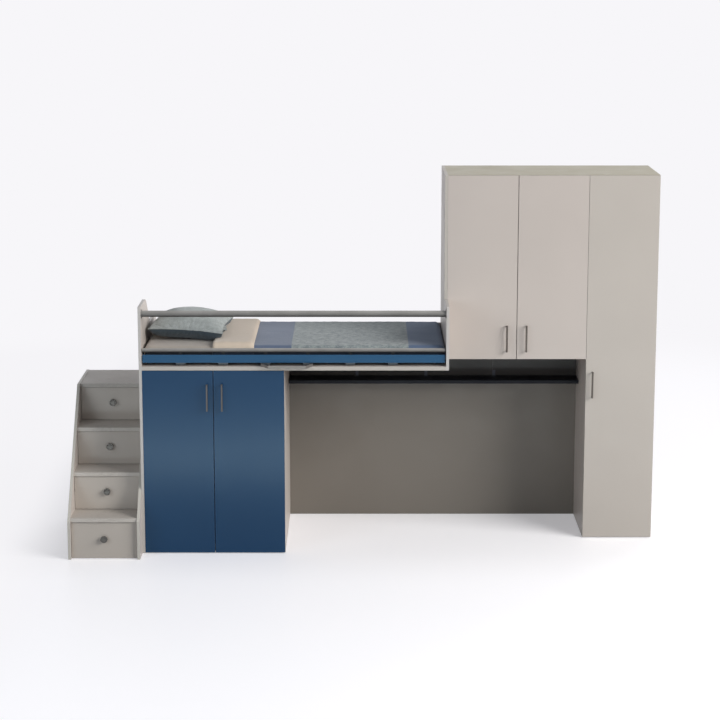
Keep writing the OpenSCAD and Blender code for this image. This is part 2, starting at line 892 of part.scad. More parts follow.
module wardrobe_handle_right() {
  handle(wardrobe_right_door_x + wardrobe_handle_in[1], front_y, wardrobe_handle_z);
}

module cabinet_handle_left() {
  handle(cabinet_left_door_x + panel_door_w - cabinet_handle_in[0], cab_y, deck_z + cabinet_handle_up);
}

module cabinet_handle_right() {
  handle(cabinet_right_door_x + cabinet_handle_in[1], cab_y, deck_z + cabinet_handle_up);
}

module column_handle() {
  handle(column_door_x + column_handle_in, cab_y, column_handle_z);
}

// A hinge's plate on the cupboard's side and its arm, which reaches into the cup of the shut door.
// The arm is set over by the distance that the side's inner face stands outside its usual place.
module hinge_arm(x, door_back, z, into, over) {
  arm_h = 16;
  arm_w = 10;
  tip = cup_depth - soft_gap;
  plate = [2, 44, 48];
  plate_y = 32;
  bend_y = plate_y - 12;
  heel_y = plate_y + 2;
  end_y = plate_y + plate[1] - 4;
  near = over + cup_in - plate[0] - board_t + door_gap / 2;
  far = near + arm_w;
  thick = plate[0] + arm_w;
  translate([x, door_back, z])
    mirror([into < 0 ? 1 : 0, 0, 0]) {
      translate([0, plate_y, -plate[2] / 2])
        cube(plate);
      translate([0, 0, -arm_h / 2])
        linear_extrude(arm_h)
          polygon([
            [plate[0] / 2, end_y], [plate[0] / 2, heel_y], [near, bend_y], [near, -tip],
            [far, -tip], [far, bend_y + 6], [thick, heel_y + 8], [thick, end_y]
          ]);
    }
}

module hinge_row(x, door_y, z, h, into, over, hinges) {
  for (i = [0 : hinges - 1])
    hinge_arm(x, door_y + board_t, z + hinge_at(h, i, hinges), into, over);
}

module hinge_arms() {
  color("#c3c5c6") {
    hinge_row(wardrobe_x + board_t, front_y, door_floor_gap, wardrobe_door_h, 1, 0, door_hinges);
    hinge_row(wardrobe_end - board_t, front_y, door_floor_gap, wardrobe_door_h, -1, 0, door_hinges);
    hinge_row(cabinet_x, cab_y, cabinet_door_z, cabinet_door_h, 1, board_t, door_hinges);
    hinge_row(column_x - board_t, cab_y, cabinet_door_z, cabinet_door_h, -1, 0, door_hinges);
    hinge_row(column_x + column_w - board_t, cab_y, door_floor_gap, column_door_h, -1, 0, column_hinges);
  }
}

stair_left_side();
stair_right_side();
stair_treads();
drawer_runners();
drawer_front(1);  // drawer_front_1
drawer_front(2);  // drawer_front_2
drawer_front(3);  // drawer_front_3
drawer_front(4);  // drawer_front_4
drawer_box(1);  // drawer_box_1
drawer_box(2);  // drawer_box_2
drawer_box(3);  // drawer_box_3
drawer_box(4);  // drawer_box_4
drawer_knob(1);  // drawer_knob_1
drawer_knob(2);  // drawer_knob_2
drawer_knob(3);  // drawer_knob_3
drawer_knob(4);  // drawer_knob_4
bed_left_end();
bed_right_end();
bed_deck();
bed_back_rail();
guard_tube();
tube_sockets();
base_fascia();
base_slats();
base_rear_rail();
base_glides();
base_handle();
mattress_retainer();
mattress();
sheet();
coverlet();
pillows();
wardrobe_left_side();
wardrobe_right_side();
wardrobe_top();
cupboard_bottoms();
wardrobe_door_left();
wardrobe_door_right();
wardrobe_handle_left();
wardrobe_handle_right();
niche_back_panel();
niche_upper_panels();
niche_shelf();
shelf_brackets();
cabinet_left_side();
cabinet_right_side();
cabinet_bottom();
top_board();
cabinet_door_left();
cabinet_door_right();
cabinet_handle_left();
cabinet_handle_right();
column_left_side();
column_right_side();
column_door();
column_handle();
back_boards();
inner_shelves();
hanging_rails();
hinge_arms();
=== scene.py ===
import math

import bmesh
import bpy
from mathutils import Matrix, Vector, noise
from mathutils.bvhtree import BVHTree
from mathutils.kdtree import KDTree


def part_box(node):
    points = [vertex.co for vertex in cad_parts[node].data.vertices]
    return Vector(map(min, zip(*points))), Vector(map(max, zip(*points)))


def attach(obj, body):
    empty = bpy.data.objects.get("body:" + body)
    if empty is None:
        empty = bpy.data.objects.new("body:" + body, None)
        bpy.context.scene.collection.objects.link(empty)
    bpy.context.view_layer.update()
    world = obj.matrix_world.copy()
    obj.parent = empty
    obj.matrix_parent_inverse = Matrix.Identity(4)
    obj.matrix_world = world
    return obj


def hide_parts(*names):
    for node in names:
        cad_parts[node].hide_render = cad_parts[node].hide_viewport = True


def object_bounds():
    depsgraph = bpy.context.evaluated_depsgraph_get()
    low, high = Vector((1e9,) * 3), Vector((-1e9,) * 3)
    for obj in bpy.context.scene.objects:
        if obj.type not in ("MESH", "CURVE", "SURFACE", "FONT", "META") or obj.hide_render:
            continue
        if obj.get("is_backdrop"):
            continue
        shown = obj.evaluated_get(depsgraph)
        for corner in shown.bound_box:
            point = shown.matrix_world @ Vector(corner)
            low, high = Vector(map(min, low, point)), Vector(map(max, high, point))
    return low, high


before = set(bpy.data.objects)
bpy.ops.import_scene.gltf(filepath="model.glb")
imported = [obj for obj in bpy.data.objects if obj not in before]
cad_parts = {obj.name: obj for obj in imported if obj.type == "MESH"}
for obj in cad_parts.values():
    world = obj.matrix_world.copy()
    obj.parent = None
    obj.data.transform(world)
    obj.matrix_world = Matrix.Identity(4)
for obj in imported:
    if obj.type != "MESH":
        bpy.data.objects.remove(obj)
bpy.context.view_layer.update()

# The row of furniture is seen from far in front through a long lens, a little from above. The step
# tops and the cabinet's top show as thin strips, and the uprights stay almost parallel.
camera_place, camera_pitch = (-0.0312, -13.1141, 3.796), 78.7154
film_width, lens_length, furthest_seen = 36, 103.19, 80
camera_data = bpy.data.cameras.new("camera")
camera_data.sensor_width = film_width
camera_data.lens = lens_length
camera_data.clip_end = furthest_seen
camera = bpy.data.objects.new("camera", camera_data)
camera.location = camera_place
camera.rotation_euler = (math.radians(camera_pitch), 0, 0)
bpy.context.collection.objects.link(camera)
bpy.context.scene.camera = camera
bpy.context.scene.view_settings.view_transform = "Standard"


# The room is a wide pale floor under an even pale sky. One large soft lamp stands at the front
# right, so the sides that face left are a little darker. Weaker lamps stand at the front left and
# behind, and a low panel in front gives the lacquer its soft sheen.
def paint(red, green, blue):
    """A colour given as it looks on a screen, from 0 to 255, as Blender's linear colour."""
    parts = [c / 255 for c in (red, green, blue)]
    return (*[c / 12.92 if c <= 0.04045 else ((c + 0.055) / 1.055) ** 2.4 for c in parts], 1)


def add_node(tree, kind, inputs=None, **settings):
    """Add a shader node. Each input is a value, or a socket of another node to link from."""
    node = tree.nodes.new(kind)
    for name, value in settings.items():
        setattr(node, name, value)
    for socket, value in (inputs or {}).items():
        if isinstance(value, bpy.types.NodeSocket):
            tree.links.new(value, node.inputs[socket])
        else:
            node.inputs[socket].default_value = value
    return node


def arithmetic(tree, operation, first, second=0.0):
    made = add_node(tree, "ShaderNodeMath", {0: first, 1: second}, operation=operation)
    return made.outputs[0]


def span(tree, value, low, high, to_low=0.0, to_high=1.0, ease="LINEAR"):
    """Value from low to high as a number from to_low to to_high."""
    made = add_node(
        tree, "ShaderNodeMapRange",
        {"Value": value, "From Min": low, "From Max": high, "To Min": to_low, "To Max": to_high},
        interpolation_type=ease,
    )
    return made.outputs["Result"]


def coordinate(tree, kind, axis=None):
    """A texture coordinate of the piece, whole or only its part along axis 0, 1 or 2."""
    whole = add_node(tree, "ShaderNodeTexCoord").outputs[kind]
    if axis is None:
        return whole
    return add_node(tree, "ShaderNodeSeparateXYZ", {0: whole}).outputs[axis]


def blended(tree, share, first, second):
    """A shader that goes from first to second as share goes from 0 to 1."""
    return add_node(
        tree, "ShaderNodeMixShader", {0: share, 1: first.outputs[0], 2: second.outputs[0]}
    )


def seen_directly(tree):
    """1 on rays that show the backdrop: from the camera, off gloss or through glass."""
    rays = add_node(tree, "ShaderNodeLightPath").outputs
    seen = arithmetic(tree, "MAXIMUM", rays["Is Camera Ray"], rays["Is Glossy Ray"])
    return arithmetic(tree, "MAXIMUM", seen, rays["Is Transmission Ray"])


def new_finish(name):
    finish = bpy.data.materials.new(name)
    finish.use_nodes = True
    return finish, finish.node_tree, finish.node_tree.nodes["Principled BSDF"]


backdrop = paint(247, 246, 249)
sky = bpy.data.worlds.new("sky")
bpy.context.scene.world = sky
sky.use_nodes = True
tree = sky.node_tree
tree.nodes.clear()
sky_light = add_node(
    tree, "ShaderNodeBackground", {"Color": paint(244, 248, 255), "Strength": 0.21}
)
sky_shown = add_node(tree, "ShaderNodeBackground", {"Color": backdrop, "Strength": 1.0})
either = blended(tree, seen_directly(tree), sky_light, sky_shown)
add_node(tree, "ShaderNodeOutputWorld", {"Surface": either.outputs[0]})

# The floor keeps the furniture's shadow. It fades into the backdrop far away and left of the stair,
# and it is a little lighter in front.
fade_from, fade_to = 2.4, 8.0
left_from, left_to, left_share = -1.72, -2.40, 0.9
front_from, front_to, glow_under, glow_in_front = -0.4, -1.0, 0.26, 0.345
floor_radius, floor_sides, floor_drop = 45, 96, 0.0005
ground, tree, floor_paint = new_finish("floor_paint")
floor_paint.inputs["Base Color"].default_value = paint(247, 246, 248)
floor_paint.inputs["Roughness"].default_value = 0.45
floor_paint.inputs["Specular IOR Level"].default_value = 0.2
from_middle = add_node(
    tree, "ShaderNodeVectorMath", {0: coordinate(tree, "Object")}, operation="LENGTH"
).outputs["Value"]
far_off = span(tree, from_middle, fade_from, fade_to, ease="SMOOTHSTEP")
left_off = span(
    tree, coordinate(tree, "Object", 0), left_from, left_to, 0.0, left_share, ease="SMOOTHSTEP"
)
faded = arithmetic(tree, "MAXIMUM", far_off, left_off)
brightness = span(
    tree, coordinate(tree, "Object", 1), front_from, front_to, glow_under, glow_in_front
)
glow = add_node(
    tree, "ShaderNodeEmission", {"Color": paint(247, 246, 250), "Strength": brightness}
)
near_floor = add_node(tree, "ShaderNodeAddShader", {0: floor_paint.outputs[0], 1: glow.outputs[0]})
far_floor = add_node(tree, "ShaderNodeEmission", {"Color": backdrop, "Strength": 1.0})
floor_shown = blended(tree, faded, near_floor, far_floor)
floor_light = add_node(tree, "ShaderNodeBsdfDiffuse", {"Color": paint(178, 177, 178)})
either = blended(tree, seen_directly(tree), floor_light, floor_shown)
tree.links.new(either.outputs[0], tree.nodes["Material Output"].inputs["Surface"])

floor_mesh = bmesh.new()
bmesh.ops.create_circle(floor_mesh, cap_ends=True, radius=floor_radius, segments=floor_sides)
bmesh.ops.translate(floor_mesh, verts=floor_mesh.verts, vec=(0, 0, -floor_drop))
floor_data = bpy.data.meshes.new("floor")
floor_mesh.to_mesh(floor_data)
floor_mesh.free()
floor_data.materials.append(ground)
floor = bpy.data.objects.new("floor", floor_data)
bpy.context.collection.objects.link(floor)
floor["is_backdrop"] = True


def soft_lamp(name, stands_at, aims_at, size, watts, colour, lights):
    """A rectangular lamp that lights only matt surfaces, or shows only in gloss."""
    lamp_data = bpy.data.lights.new(name, "AREA")
    lamp_data.shape = "RECTANGLE"
    lamp_data.size, lamp_data.size_y = size
    lamp_data.energy = watts
    lamp_data.color = colour
    lamp = bpy.data.objects.new(name, lamp_data)
    lamp.location = stands_at
    lamp.rotation_euler = (Vector(stands_at) - Vector(aims_at)).to_track_quat("Z", "Y").to_euler()
    lamp.visible_camera = False
    lamp.visible_glossy = lights == "gloss"
    lamp.visible_diffuse = lights == "matt"
    bpy.context.collection.objects.link(lamp)


soft_lamp(
    "key_lamp", (10.8, -6.8, 6.9), (0, 0, 1.2), (9.0, 7.0), 1960, (1.0, 0.985, 0.965), "matt"
)
soft_lamp(
    "cool_lamp", (-8.5, -9.5, 4.6), (-0.4, 0, 0.9), (6.0, 5.0), 300, (0.82, 0.92, 1.0), "matt"
)
soft_lamp(
    "back_lamp", (5.5, 10.5, 4.6), (0, 0, 1.2), (7.0, 5.0), 430, (0.97, 0.98, 1.0), "matt"
)
soft_lamp(
    "low_panel", (-1.0, -2.92, 0.02), (-1.0, -2.92, 3.0), (7.0, 1.25), 160, (0.86, 0.97, 1.0),
    "gloss",
)


# Most boards are particle board faced with plain warm grey melamine, cut square, with a lipping of
# the same grey ironed on the edges. The facing is finely embossed, and the arrises are rubbed a
# little lighter.
def grain(tree, vector, scale, detail=2.0, roughness=0.5):
    """Even noise with about scale lumps to the metre, and detail finer layers of that roughness."""
    made = add_node(
        tree, "ShaderNodeTexNoise",
        {"Vector": vector, "Scale": scale, "Detail": detail, "Roughness": roughness},
    )
    return made.outputs["Fac"]


def mixed(tree, factor, first, second, blend="MIX"):
    made = add_node(
        tree, "ShaderNodeMix", {0: factor, 6: first, 7: second}, data_type="RGBA", blend_type=blend
    )
    return made.outputs[2]


def shaded(tree, tone, by):
    """A tone made darker or lighter by a factor, or tinted by a colour."""
    return mixed(tree, 1.0, tone, by, "MULTIPLY")


def rounded_normal(tree, radius):
    """A normal that rounds the sharp edges by radius."""
    return add_node(tree, "ShaderNodeBevel", {"Radius": radius}, samples=6).outputs[0]


def raise_relief(tree, shader, height, strength, distance, normal=None):
    """Bump the surface by height, over the rounded arrises where normal is given."""
    relief = add_node(
        tree, "ShaderNodeBump", {"Height": height, "Strength": strength, "Distance": distance}
    )
    if normal is not None:
        tree.links.new(normal, relief.inputs["Normal"])
    tree.links.new(relief.outputs[0], shader.inputs["Normal"])


def board_finish(
    name, face, lipping, thin,
    roughness=0.42, emboss=0.10, arris_radius=0.0014, worn=0.35, smudged=0.06,
):
    """thin is the axis, 0, 1 or 2, along which the board is thin; its edges carry the lipping."""
    finish, tree, shader = new_finish(name)
    at = coordinate(tree, "Object")
    normal = rounded_normal(tree, arris_radius)
    flat_normal = add_node(tree, "ShaderNodeNewGeometry").outputs["Normal"]
    facing = add_node(
        tree, "ShaderNodeVectorMath", {0: normal, 1: flat_normal}, operation="DOT_PRODUCT"
    )
    arris = span(tree, facing.outputs["Value"], 0.995, 0.80)
    flat_face = arithmetic(tree, "ABSOLUTE", coordinate(tree, "Normal", thin))
    tone = mixed(tree, arithmetic(tree, "LESS_THAN", flat_face, 0.5), face, lipping)
    drift = span(tree, grain(tree, at, 1.6, 3.0), 0.3, 0.7, 0.975, 1.02)
    flecks = span(tree, grain(tree, at, 330.0, 3.0, 0.7), 0.35, 0.7, 0.985, 1.012)
    tone = shaded(tree, shaded(tree, tone, drift), flecks)
    patchy = span(tree, grain(tree, at, 24.0, 4.0), 0.42, 0.62, 0.1, worn)
    rubbed = arithmetic(tree, "MULTIPLY", arris, patchy)
    tone = mixed(tree, rubbed, tone, paint(226, 221, 214))
    tree.links.new(tone, shader.inputs["Base Color"])
    handled = grain(tree, at, 5.5, 4.0, 0.6)
    smudges = span(tree, handled, 0.35, 0.7, roughness - smudged, roughness + smudged)
    tree.links.new(smudges, shader.inputs["Roughness"])
    shader.inputs["Specular IOR Level"].default_value = 0.35
    pores = arithmetic(tree, "ADD", grain(tree, at, 1100.0, 2.0), grain(tree, at, 260.0, 2.0))
    raise_relief(tree, shader, pores, emboss, 0.0003, normal)
    return finish


def give(finish, *names):
    for name in names:
        slots = bpy.data.objects[name].data.materials
        slots.clear()
        slots.append(finish)


greige, greige_lipping = paint(197, 188, 181), paint(190, 184, 176)
board_across_x = board_finish("greige_upright", greige, greige_lipping, 0)
board_across_y = board_finish("greige_front", greige, greige_lipping, 1)
board_across_z = board_finish("greige_level", greige, greige_lipping, 2)
give(
    board_across_x, "wardrobe_left_side", "wardrobe_right_side", "cabinet_left_side",
    "cabinet_right_side", "column_left_side", "column_right_side",
)
give(board_across_z, "wardrobe_top", "cabinet_bottom", "cupboard_bottoms")

# The stair is four deep steps between two shaped sides. Its boards are the same melamine; the steps
# are thicker, with a rounded nosing that feet have polished in the middle.
stair_side_finish = board_finish(
    "stair_side_board", greige, paint(200, 196, 187), 0, arris_radius=0.002
)
give(stair_side_finish, "stair_left_side", "stair_right_side")
tread_low, tread_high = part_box("stair_treads")


def colour_so_far(finish):
    """A finish's node tree and shader, and the colour that reaches the shader now."""
    tree = finish.node_tree
    shader = tree.nodes["Principled BSDF"]
    return tree, shader, shader.inputs["Base Color"].links[0].from_socket


def step_finish(name):
    """The middle of each step is trodden, and the top step is darkened as painted shade."""
    finish = board_finish(
        name, paint(194, 187, 179), paint(200, 194, 186), 2,
        roughness=0.46, emboss=0.16, arris_radius=0.003, worn=0.5,
    )
    tree, shader, base = colour_so_far(finish)
    middle_x = (tread_low.x + tread_high.x) / 2
    off_middle = arithmetic(
        tree, "ABSOLUTE", arithmetic(tree, "SUBTRACT", coordinate(tree, "Object", 0), middle_x)
    )
    trodden = arithmetic(
        tree, "MULTIPLY", span(tree, off_middle, 0.16, 0.05, 0.0, 0.5),
        span(tree, grain(tree, coordinate(tree, "Object"), 38.0, 5.0, 0.65), 0.42, 0.66),
    )
    tone = mixed(tree, trodden, base, paint(176, 169, 160))
    height = coordinate(tree, "Object", 2)
    # Painted shade: the top step is made a little darker than the others.
    top_step_painted_shade = span(tree, height, tread_high.z - 0.06, tread_high.z - 0.05, 1.0, 0.86)
    tree.links.new(shaded(tree, tone, top_step_painted_shade), shader.inputs["Base Color"])
    return finish


give(step_finish("step_board"), "stair_treads")

# Each step hides a drawer. The front is faced board with a turned knob, darkened and faintly ringed
# by the lathe; the box behind it is thin pale board and runs on folded zinc-plated steel.
drawer_finish = board_finish("drawer_front_board", paint(191, 183, 174), greige_lipping, 1)
pale, pale_lipping = paint(214, 208, 196), paint(206, 199, 186)
pale_across_z = board_finish("pale_level", pale, pale_lipping, 2, roughness=0.55, emboss=0.05)
pale_across_y = board_finish("pale_back", pale, pale_lipping, 1, roughness=0.55, emboss=0.05)


def darker(colour, share):
    return (*[part * share for part in colour[:3]], 1)


def metal_finish(name, colour, roughness, brushed_along, stroke=0.10, metallic=1.0):
    """brushed_along stretches the fine lines along X, Y or Z; 1, 1, 1 leaves them even."""
    finish, tree, shader = new_finish(name)
    at = coordinate(tree, "Object")
    stretched = add_node(tree, "ShaderNodeMapping", {"Vector": at, "Scale": brushed_along})
    lines = grain(tree, stretched.outputs[0], 900.0, 3.0, 0.6)
    cloudy = span(tree, grain(tree, at, 18.0, 3.0), 0.35, 0.65, 0.0, 0.25)
    tone = mixed(tree, span(tree, lines, 0.3, 0.7), darker(colour, 0.88), colour)
    tone = mixed(tree, cloudy, tone, darker(colour, 0.8))
    tree.links.new(tone, shader.inputs["Base Color"])
    sheen = span(tree, lines, 0.3, 0.7, roughness - 0.06, roughness + 0.08)
    tree.links.new(sheen, shader.inputs["Roughness"])
    shader.inputs["Metallic"].default_value = metallic
    raise_relief(tree, shader, lines, stroke, 0.0001, rounded_normal(tree, 0.0006))
    return finish


lathe_lines, no_lines = (1.0, 0.05, 1.0), (1.0, 1.0, 1.0)
knob_finish = metal_finish(
    "turned_dark_steel", paint(98, 97, 94), 0.42, lathe_lines, metallic=0.85
)
for drawer in (1, 2, 3, 4):
    give(drawer_finish, f"drawer_front_{drawer}")
    give(pale_across_z, f"drawer_box_{drawer}")
    give(knob_finish, f"drawer_knob_{drawer}")
zinc = metal_finish("zinc_plate", paint(196, 199, 202), 0.30, no_lines, stroke=0.05)
give(zinc, "drawer_runners", "hinge_arms", "hanging_rails")

# The bed hangs between two shaped end panels, on a deck board. A board behind the mattress closes
# it towards the wall.
end_finish = board_finish("bed_end_board", greige, paint(196, 192, 188), 0, arris_radius=0.002)
give(end_finish, "bed_left_end", "bed_right_end")
give(board_across_z, "bed_deck")
give(board_across_y, "bed_back_rail")

# The guard rail is a round steel tube in two flat sockets, powder coated in one satin grey, with
# painted light on its upper faces and painted shade on its lower faces. The retainer that keeps the
# mattress in has the same coat with the same painted light and shade, on welded lugs painted near
# black as the shade between the tube and the fascia.
coat_finish, tree, shader = new_finish("grey_powder_coat")
at = coordinate(tree, "Object")
orange_peel = grain(tree, at, 520.0, 2.0)
cloudy = span(tree, grain(tree, at, 9.0, 3.0), 0.35, 0.65)
coat_tone = mixed(tree, cloudy, paint(140, 138, 135), paint(151, 149, 146))
# Painted light and shade: the coat is lighter on faces that look up and much darker on faces that
# look down.
painted_top_light_under_shade = span(tree, coordinate(tree, "Normal", 2), -0.5, 0.9, 0.36, 1.25)
tree.links.new(shaded(tree, coat_tone, painted_top_light_under_shade), shader.inputs["Base Color"])
tree.links.new(span(tree, orange_peel, 0.3, 0.7, 0.40, 0.50), shader.inputs["Roughness"])
shader.inputs["Specular IOR Level"].default_value = 0.2
raise_relief(tree, shader, orange_peel, 0.12, 0.0002, rounded_normal(tree, 0.0008))
give(coat_finish, "guard_tube", "tube_sockets")
retainer_finish = coat_finish.copy()
retainer_finish.name = "grey_coat_on_shade_painted_lugs"
tree, shader, coat_tone = colour_so_far(retainer_finish)
# The lugs below the tube are painted near black, which also paints the shade between the tube and
# the fascia.
tube_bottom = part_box("mattress_retainer")[1].z - 0.0255
on_lug_painted_shade = span(tree, coordinate(tree, "Object", 2), tube_bottom, tube_bottom - 0.001)
tree.links.new(mixed(tree, on_lug_painted_shade, coat_tone, paint(52, 53, 55)), shader.inputs["Base Color"])
give(retainer_finish, "mattress_retainer")


# The mattress lies on a slatted base that pulls out over the deck. Its fascia is lacquered blue
# board, its slats are painted wood on black plastic glides, and a flat bent bar screwed under the
# fascia is its handle.
def lacquer_finish(name, face, lipping):
    finish = board_finish(
        name, face, lipping, 1,
        roughness=0.25, emboss=0.02, arris_radius=0.0016, worn=0.12, smudged=0.012,
    )
    shader = finish.node_tree.nodes["Principled BSDF"]
    shader.inputs["Specular IOR Level"].default_value = 0.25
    shader.inputs["Specular Tint"].default_value = (0.80, 0.96, 1.0, 1.0)
    return finish


give(lacquer_finish("blue_lacquered_fascia", paint(40, 84, 120), paint(43, 88, 123)), "base_fascia")

slat_finish, tree, shader = new_finish("painted_slat_wood")
fibres = add_node(
    tree, "ShaderNodeMapping", {"Vector": coordinate(tree, "Object"), "Scale": (1.0, 0.06, 1.0)}
)
wood_lines = grain(tree, fibres.outputs[0], 190.0, 5.0, 0.6)
slat_tone = mixed(tree, span(tree, wood_lines, 0.3, 0.7), paint(70, 76, 81), paint(82, 88, 94))
tree.links.new(slat_tone, shader.inputs["Base Color"])
tree.links.new(span(tree, wood_lines, 0.3, 0.7, 0.5, 0.62), shader.inputs["Roughness"])
raise_relief(tree, shader, wood_lines, 0.25, 0.0003, rounded_normal(tree, 0.002))
give(slat_finish, "base_slats", "base_rear_rail")

glide_finish, tree, shader = new_finish("black_glide_plastic")
moulded = grain(tree, coordinate(tree, "Object"), 700.0, 2.0)
glide_tone = mixed(tree, span(tree, moulded, 0.3, 0.7), paint(48, 49, 50), paint(62, 63, 64))
tree.links.new(glide_tone, shader.inputs["Base Color"])
shader.inputs["Roughness"].default_value = 0.55
raise_relief(tree, shader, moulded, 0.2, 0.0002)
give(glide_finish, "base_glides")

along_x = (0.03, 1.0, 1.0)
give(
    metal_finish("brushed_bar_along_x", paint(112, 107, 103), 0.45, along_x, metallic=0.7),
    "base_handle",
)

# The mattress is foam in a quilted cotton cover, with a piped seam round its top and bottom edges.
# It fills the base from the retainer to the rear rail.
soft_low, soft_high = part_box("mattress")
end_gap, front_gap, rear_gap, slat_gap, mattress_top = 0.005, 0.006, 0.005, 0.0006, 1.3322
mattress_low = Vector((soft_low.x + end_gap, soft_low.y + front_gap, soft_low.z + slat_gap))
mattress_high = Vector((soft_high.x - end_gap, soft_high.y - rear_gap, mattress_top))
mattress_round, piping_round, corner_segments = 0.030, 0.0025, 8
mattress_middle = (mattress_low + mattress_high) / 2
core_x = (mattress_high.x - mattress_low.x) / 2 - mattress_round
core_y = (mattress_high.y - mattress_low.y) / 2 - mattress_round


def carry_ring(verts, radius, height):
    """Move a ring of points to stand radius from the mattress's inner rectangle, at height."""
    for vert in verts:
        local = vert.co - mattress_middle
        inner = Vector((max(-core_x, min(core_x, local.x)), max(-core_y, min(core_y, local.y))))
        out = (Vector((local.x, local.y)) - inner).normalized()
        placed = inner + out * radius
        vert.co = (mattress_middle.x + placed.x, mattress_middle.y + placed.y, height)


form = bmesh.new()
first_out = 0.02
bmesh.ops.create_grid(form, x_segments=1, y_segments=1, size=0.5)
bmesh.ops.scale(
    form, verts=form.verts, vec=(2 * core_x + 2 * first_out, 2 * core_y + 2 * first_out, 1)
)
bmesh.ops.translate(form, verts=form.verts, vec=(mattress_middle.x, mattress_middle.y, 0))
bmesh.ops.bevel(
    form, geom=form.verts[:], affect="VERTICES", offset=first_out, segments=corner_segments,
    profile=0.5, material=-1,
)
side = mattress_round - piping_round
depth = mattress_high.z - mattress_low.z
lower_seam, upper_seam = 0.0155, depth - 0.034


def piped(seam):
    """The outline of the round piping over a seam at that height."""
    turns = [math.radians(turn) for turn in (20, 55, 90, 125, 160)]
    return [(side + piping_round * math.sin(t), seam - piping_round * math.cos(t)) for t in turns]


outline = [(0.010, 0.0), (0.020, 0.0025), (side - 0.001, 0.008), (side, 0.012)]
outline += piped(lower_seam)
outline += [(side, 0.019), (side, 0.03), (side - 0.0004, depth - 0.042)]
outline += piped(upper_seam)
outline += [
    (side * math.cos(turn), depth - side + side * math.sin(turn) - 0.001)
    for turn in map(math.radians, (0, 18, 36, 54, 72, 84))
]
carry_ring(form.verts, outline[0][0], mattress_low.z)
ring = form.edges[:]
for radius, rise in outline[1:]:
    grown = bmesh.ops.extrude_edge_only(form, edges=ring)["geom"]
    carry_ring(
        [part for part in grown if isinstance(part, bmesh.types.BMVert)], radius,
        mattress_low.z + rise,
    )
    ring = [part for part in grown if isinstance(part, bmesh.types.BMEdge)]
bmesh.ops.contextual_create(form, geom=ring)
bmesh.ops.recalc_face_normals(form, faces=form.faces)


def finished_piece(name, form, finish, slot, body, *nodes):
    """Make a shape in bmesh a smooth piece, with its finish, body and the solids it replaces."""
    mesh = bpy.data.meshes.new(name)
    form.to_mesh(mesh)
    form.free()
    mesh.polygons.foreach_set("use_smooth", [True] * len(mesh.polygons))
    mesh.materials.append(finish)
    piece = bpy.data.objects.new(name, mesh)
    bpy.context.collection.objects.link(piece)
    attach(piece, body)
    if nodes:
        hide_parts(*nodes)
    return piece


def cloth_finish(name, light, dark, thread, along, roughness=0.85, sheen=0.25):
    """A plain weave of threads that far apart; along is the coordinate the weave follows."""
    wave_period = 0.314
    finish, tree, shader = new_finish(name)
    at = coordinate(tree, along)
    drawn = arithmetic(tree, "MULTIPLY", grain(tree, at, 7.0), 0.004)
    loose = add_node(tree, "ShaderNodeVectorMath", {0: at, 1: drawn}, operation="ADD").outputs[0]
    strand_shape = {
        "Vector": loose, "Scale": wave_period / thread, "Distortion": 1.2, "Detail Scale": 0.6,
    }
    strands = [
        add_node(tree, "ShaderNodeTexWave", strand_shape, bands_direction=way).outputs["Fac"]
        for way in ("X", "Y")
    ]
    weave = arithmetic(tree, "MAXIMUM", strands[0], strands[1])
    slubs = grain(tree, at, 210.0, 4.0, 0.65)
    raised = arithmetic(tree, "MULTIPLY", weave, span(tree, slubs, 0.3, 0.7, 0.5, 1.0))
    washed = span(tree, grain(tree, at, 6.0, 4.0, 0.6), 0.3, 0.7, 0.955, 1.03)
    tone = shaded(tree, mixed(tree, raised, dark, light), washed)
    tree.links.new(tone, shader.inputs["Base Color"])
    dullness = span(tree, slubs, 0.3, 0.7, roughness - 0.05, roughness + 0.08)
    tree.links.new(dullness, shader.inputs["Roughness"])
    shader.inputs["Specular IOR Level"].default_value = 0.2
    shader.inputs["Sheen Weight"].default_value = sheen
    shader.inputs["Sheen Roughness"].default_value = 0.5
    fine = add_node(
        tree, "ShaderNodeBump", {"Height": weave, "Strength": 0.35, "Distance": thread * 0.35}
    )
    creased = grain(tree, at, 34.0, 5.0, 0.6)
    raise_relief(tree, shader, creased, 0.35, 0.004, fine.outputs[0])
    return finish


ticking = cloth_finish(
    "quilted_ticking", paint(222, 220, 214), paint(200, 198, 192), 0.0012, "Object"
)
mattress = finished_piece("mattress_foam", form, ticking, "mattress_cover", "bed_base", "mattress")


# A fitted sheet of washed beige cotton is stretched over the head end of the mattress. It turns
# down over the edges in a soft round, is gathered at the corners, and has an elastic hem with a
# dark tape that also paints the shade under the retainer tube.
def over_mattress(along, across, gap, raised=0.0, beside=0.0):
    """Where a point of a cloth lies; along and across are measured on it from the bed's middle."""
    turn = mattress_round + gap
    past_x, past_y = max(0.0, abs(along) - core_x), max(0.0, abs(across) - core_y)
    past = max(past_x, past_y)
    angle = min(past / turn, math.pi / 2)
    out = turn * math.sin(angle)
    down = turn * (1 - math.cos(angle)) + max(0.0, past - turn * math.pi / 2)
    way = math.pi / 2 * past_y / (past_x + past_y) if past > 0 else 0.0
    side_x, side_y = math.copysign(math.cos(way), along), math.copysign(math.sin(way), across)
    reach = out + beside * math.sin(angle)
    return Vector((
        mattress_middle.x + max(-core_x, min(core_x, along)) + side_x * reach * (past > 0),
        mattress_middle.y + max(-core_y, min(core_y, across)) + side_y * reach * (past > 0),
        mattress_high.z + gap - down + raised * math.cos(angle),
    ))


def flat_cloth(length, width, step):
    """A grid of cloth from X 0 to length, centred across Y; its cut in metres is its UV map."""
    form = bmesh.new()
    bmesh.ops.create_grid(
        form, x_segments=round(length / step), y_segments=round(width / step), size=0.5
    )
    bmesh.ops.scale(form, verts=form.verts, vec=(length, width, 1))
    bmesh.ops.translate(form, verts=form.verts, vec=(length / 2, 0, 0))
    cut = form.loops.layers.uv.new("cut")
    for face in form.faces:
        for loop in face.loops:
            loop[cut].uv = loop.vert.co.xy
    return form


